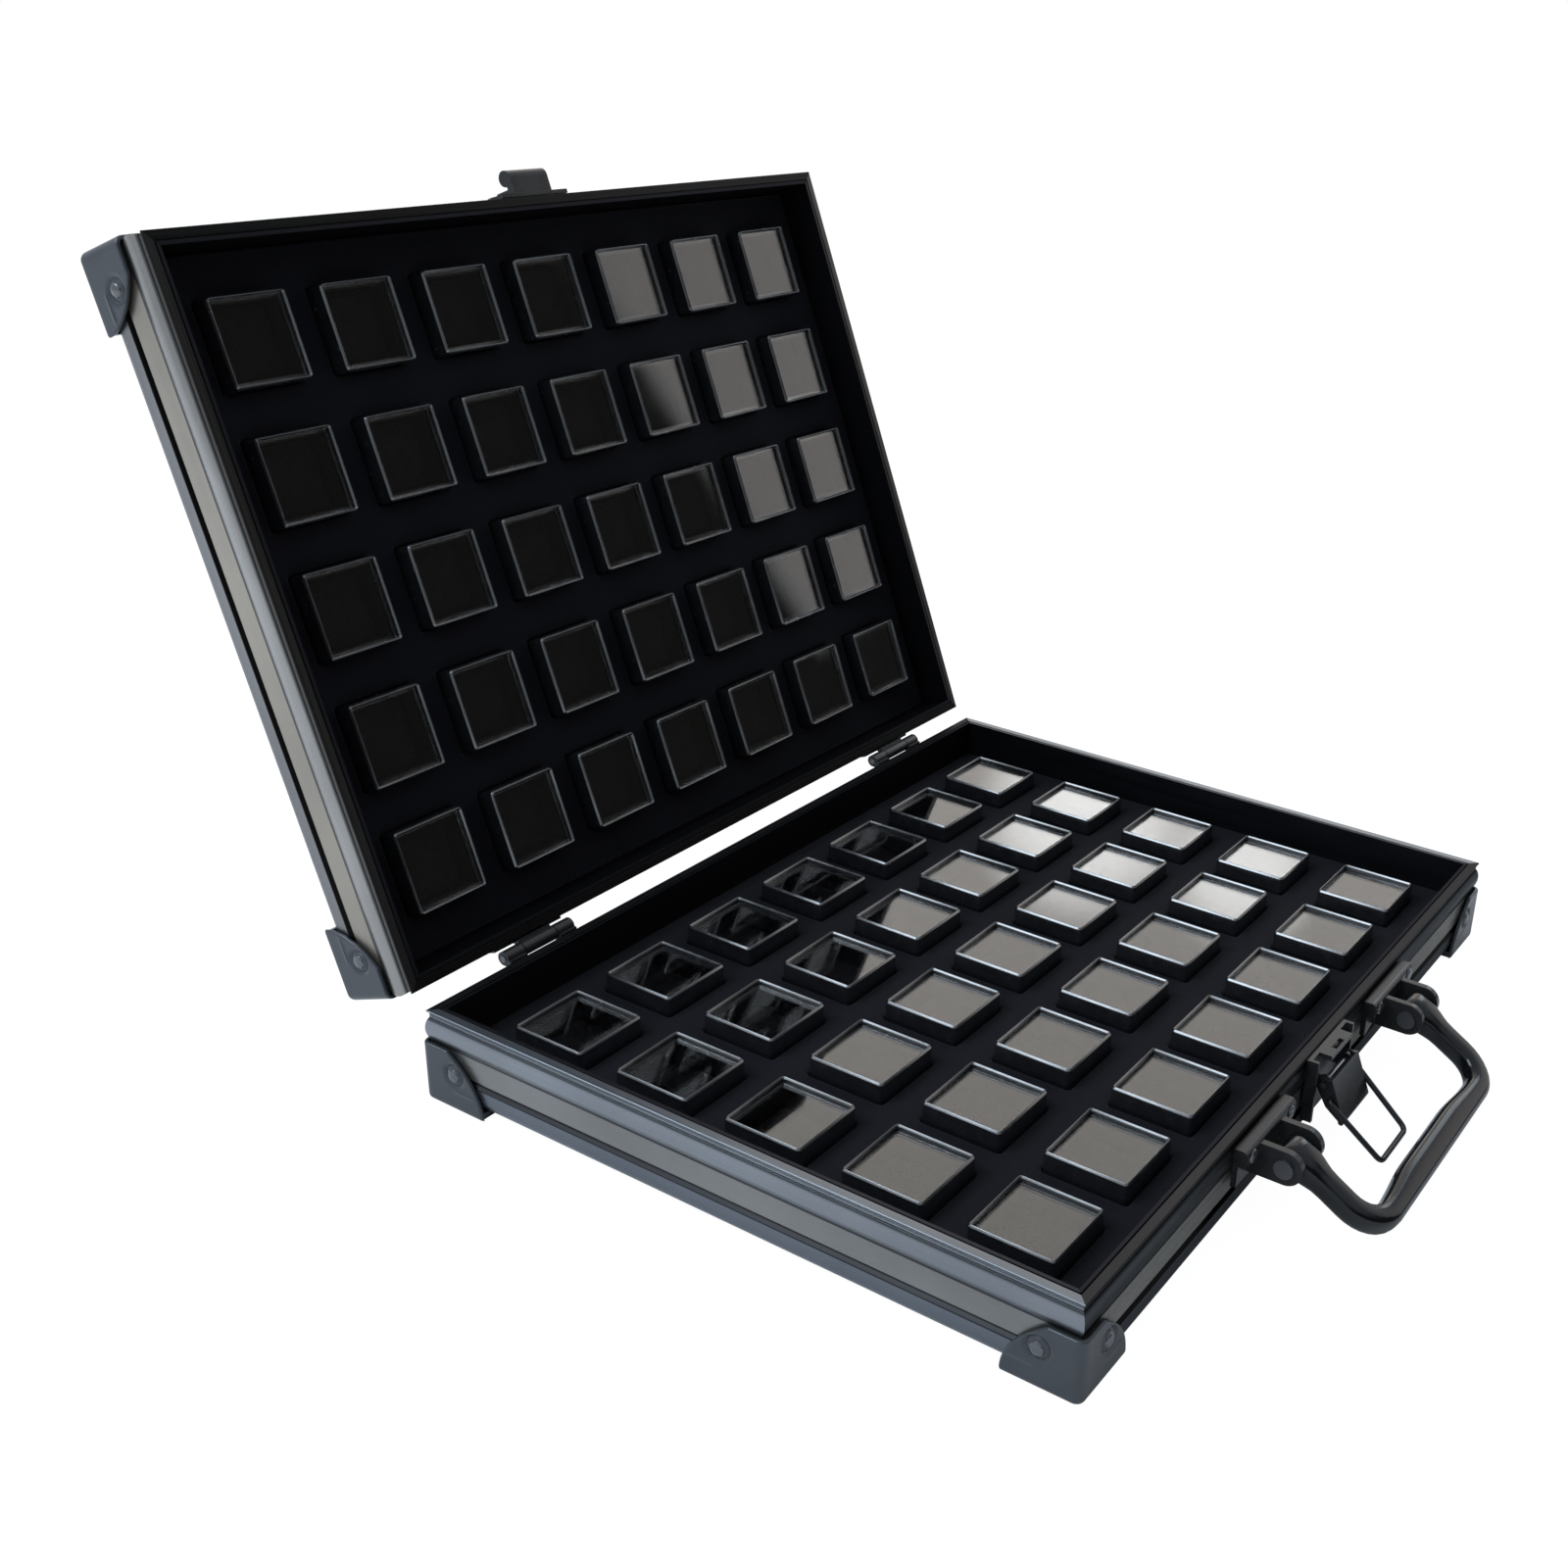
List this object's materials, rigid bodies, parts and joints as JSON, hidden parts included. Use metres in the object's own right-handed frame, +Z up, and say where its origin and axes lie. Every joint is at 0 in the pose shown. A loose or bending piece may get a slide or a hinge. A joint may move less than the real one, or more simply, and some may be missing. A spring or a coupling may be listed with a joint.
{
  "type": "mineral specimen case",
  "caption": "Shallow hinged case with foam trays of square windowed specimen boxes in base and lid, corner guards, drop handle and wire draw latch.",
  "frame": {"origin": "centre of the outer panel's lower face on the underside of the base", "axes": "+X along the hinge, to the right seen from the handle side; -Y towards the handle and +Y towards the hinge; +Z up"},
  "size_m": [0.3342, 0.426, 0.2803],
  "materials": {
    "case_rail": "black anodised, satin",
    "case_panel": "fine leather-grain laminate",
    "tray_foam": "black flocked foam",
    "corner_guard": "black powder coat",
    "rivet_steel": "blackened steel",
    "box_cup": "black polystyrene",
    "box_cover": "black polystyrene",
    "box_window": "clear, glossy",
    "box_pad": "black foam",
    "handle_grip": "semi-gloss black moulding",
    "hardware": "black coated steel",
    "latch_wire": "blackened steel wire"
  },
  "bodies": {
    "base": {"base_front_rail": "case_rail", "base_back_rail": "case_rail", "base_left_rail": "case_rail", "base_right_rail": "case_rail", "base_panel": "case_panel", "base_foam_tray": "tray_foam", "base_guard_front_left": "corner_guard", "base_guard_front_right": "corner_guard", "base_guard_back_left": "corner_guard", "base_guard_back_right": "corner_guard", "base_guard_rivets": "rivet_steel", "base_cups_row_1": "box_cup", "base_cups_row_2": "box_cup", "base_cups_row_3": "box_cup", "base_cups_row_4": "box_cup", "base_cups_row_5": "box_cup", "base_box_covers": "box_cover", "base_box_windows": "box_window", "base_box_pads": "box_pad", "hinge_base_leaf_left": "hardware", "hinge_base_leaf_right": "hardware", "hinge_pins": "rivet_steel", "handle_bracket_left": "hardware", "handle_bracket_right": "hardware", "handle_pins": "rivet_steel", "latch_plate": "hardware", "latch_lever_pin": "rivet_steel", "base_hardware_rivets": "rivet_steel"},
    "lid": {"lid_front_rail": "case_rail", "lid_back_rail": "case_rail", "lid_left_rail": "case_rail", "lid_right_rail": "case_rail", "lid_panel": "case_panel", "lid_foam_tray": "tray_foam", "lid_guard_front_left": "corner_guard", "lid_guard_front_right": "corner_guard", "lid_guard_back_left": "corner_guard", "lid_guard_back_right": "corner_guard", "lid_guard_rivets": "rivet_steel", "lid_cups_row_1": "box_cup", "lid_cups_row_2": "box_cup", "lid_cups_row_3": "box_cup", "lid_cups_row_4": "box_cup", "lid_cups_row_5": "box_cup", "lid_box_covers": "box_cover", "lid_box_windows": "box_window", "lid_box_pads": "box_pad", "hinge_lid_leaf_left": "hardware", "hinge_lid_leaf_right": "hardware", "lid_catch": "hardware", "lid_hardware_rivets": "rivet_steel"},
    "handle": {"handle": "handle_grip"},
    "latch_lever": {"latch_lever": "hardware"},
    "latch_wire": {"latch_wire": "latch_wire"},
    "sample_box": {"sample_cup": "box_cup", "sample_pad": "box_pad"},
    "sample_cover": {"sample_cover": "box_cover", "sample_window": "box_window"}
  },
  "joints": [
    {"name": "lid_hinge", "type": "hinge", "parent": "base", "child": "lid", "pos_m": [0, 0.1296, 0.0312], "axis": [-1, 0, 0], "range_deg": [-111, 0]},
    {"name": "handle_pivot", "type": "hinge", "parent": "base", "child": "handle", "pos_m": [0, -0.1395, 0.0205], "axis": [-1, 0, 0], "range_deg": [-59, 121]},
    {"name": "latch_lever_pivot", "type": "hinge", "parent": "base", "child": "latch_lever", "pos_m": [0, -0.131, 0.02], "axis": [1, 0, 0], "range_deg": [-83, 12]},
    {"name": "latch_wire_pivot", "type": "hinge", "parent": "latch_lever", "child": "latch_wire", "pos_m": [0, -0.13445, 0.01546], "axis": [-1, 0, 0], "range_deg": [-10, 145]},
    {"name": "sample_lift", "type": "slide", "parent": "base", "child": "sample_box", "axis": [0, 0, 1], "range_m": [0, 0.03]},
    {"name": "sample_cover_lift", "type": "slide", "parent": "sample_box", "child": "sample_cover", "axis": [0, 0, 1], "range_m": [0, 0.012]}
  ]
}
